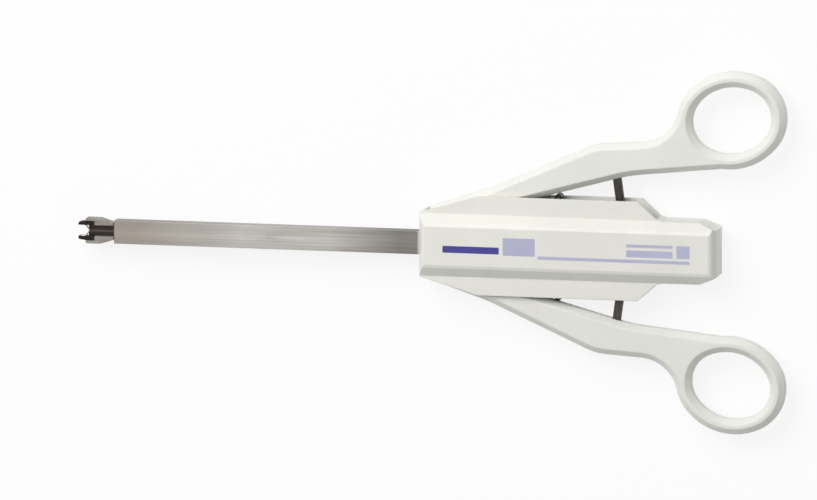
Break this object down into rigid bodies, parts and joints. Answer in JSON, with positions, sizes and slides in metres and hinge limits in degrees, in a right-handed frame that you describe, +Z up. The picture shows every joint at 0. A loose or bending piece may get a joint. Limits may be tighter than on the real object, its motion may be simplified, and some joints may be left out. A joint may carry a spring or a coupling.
{
  "type": "ligating clip applier",
  "caption": "Ring-handled ligating clip applier with flat steel shaft, two-prong jaws, slotted housing and cam-driven closing, feeding and magazine slides",
  "frame": {"origin": "middle of the bounding box at the height of the table face", "axes": "X from the jaws to the finger rings, Y from the lower to the upper handle, Z up through the label side"},
  "size_m": [0.292, 0.1478, 0.018],
  "materials": {
    "white_shell": "fine satin moulding",
    "white_grip": "smooth satin moulding",
    "stainless": "long brushed grain",
    "dark_steel": "dark oxide finish",
    "spring_steel": "blued strip",
    "clip_metal": "matt titanium wire",
    "follower_plastic": "moulded"
  },
  "bodies": {
    "housing": {"housing_top": "white_shell", "housing_bottom": "white_shell", "pivot_pins": "stainless", "shroud": "stainless", "jaw_root": "stainless", "jaw_rivets": "stainless", "clip_track": "stainless", "pawl_pin": "stainless", "pawl_spring": "spring_steel", "loaded_clip": "clip_metal", "follower_spring": "spring_steel"},
    "grip_upper": {"handle_upper": "white_grip", "drive_rod_upper": "dark_steel", "cam_pin_upper": "dark_steel"},
    "grip_lower": {"handle_lower": "white_grip", "drive_rod_lower": "dark_steel", "cam_pin_lower": "dark_steel"},
    "drive": {"cam_yoke": "stainless", "closing_channel": "stainless"},
    "feed": {"feed_bar": "stainless"},
    "magazine": {"clip_stack": "clip_metal", "clip_follower": "follower_plastic"},
    "jaw_a": {"jaw_upper": "dark_steel"},
    "jaw_b": {"jaw_lower": "dark_steel"},
    "leaf_a": {"return_spring_upper": "spring_steel"},
    "leaf_b": {"return_spring_lower": "spring_steel"},
    "catch": {"pawl": "dark_steel"}
  },
  "joints": [
    {"name": "handle_upper_hinge", "type": "hinge", "parent": "housing", "child": "grip_upper", "pos_m": [0.003, 0.0115, 0.009], "axis": [0, 0, -1], "range_deg": [0, 8], "stiffness_Nm_per_rad": 2, "deforming": ["loaded_clip"]},
    {"name": "handle_lower_hinge", "type": "hinge", "parent": "housing", "child": "grip_lower", "pos_m": [0.003, -0.0115, 0.009], "axis": [0, 0, 1], "range_deg": [0, 8]},
    {"name": "drive_slide", "type": "slide", "parent": "housing", "child": "drive", "axis": [-1, 0, 0], "range_m": [0, 0.006]},
    {"name": "feed_slide", "type": "slide", "parent": "housing", "child": "feed", "axis": [1, 0, 0], "range_m": [0, 0.007]},
    {"name": "magazine_advance", "type": "slide", "parent": "housing", "child": "magazine", "axis": [-1, 0, 0], "range_m": [0, 0.0056], "deforming": ["follower_spring"]},
    {"name": "jaw_upper_flex", "type": "hinge", "parent": "housing", "child": "jaw_a", "pos_m": [-0.104, 0.0029, 0.009], "axis": [0, 0, 1], "range_deg": [0, 2.8]},
    {"name": "jaw_lower_flex", "type": "hinge", "parent": "housing", "child": "jaw_b", "pos_m": [-0.104, -0.0029, 0.009], "axis": [0, 0, -1], "range_deg": [0, 2.8]},
    {"name": "return_spring_upper_flex", "type": "hinge", "parent": "housing", "child": "leaf_a", "pos_m": [0.0145, 0.008, 0.009], "axis": [0, 0, -1], "range_deg": [0, 10]},
    {"name": "return_spring_lower_flex", "type": "hinge", "parent": "housing", "child": "leaf_b", "pos_m": [0.0145, -0.008, 0.009], "axis": [0, 0, 1], "range_deg": [0, 10]},
    {"name": "pawl_hinge", "type": "hinge", "parent": "housing", "child": "catch", "pos_m": [0.055, -0.0088, 0.009], "axis": [0, 0, 1], "range_deg": [0, 6], "stiffness_Nm_per_rad": 0.02, "deforming": ["pawl_spring"]}
  ],
  "couplings": [
    {"joint": "handle_lower_hinge", "follows": "handle_upper_hinge", "ratio": 1},
    {"joint": "drive_slide", "follows": "handle_upper_hinge", "m_per_rad": 0.04297},
    {"joint": "feed_slide", "follows": "handle_upper_hinge", "m_per_rad": 0.05013},
    {"joint": "magazine_advance", "follows": "handle_upper_hinge", "m_per_rad": 0.0401},
    {"joint": "jaw_upper_flex", "follows": "handle_upper_hinge", "ratio": 0.35},
    {"joint": "jaw_lower_flex", "follows": "handle_upper_hinge", "ratio": 0.35},
    {"joint": "return_spring_upper_flex", "follows": "handle_upper_hinge", "ratio": 1.25},
    {"joint": "return_spring_lower_flex", "follows": "handle_upper_hinge", "ratio": 1.25}
  ]
}
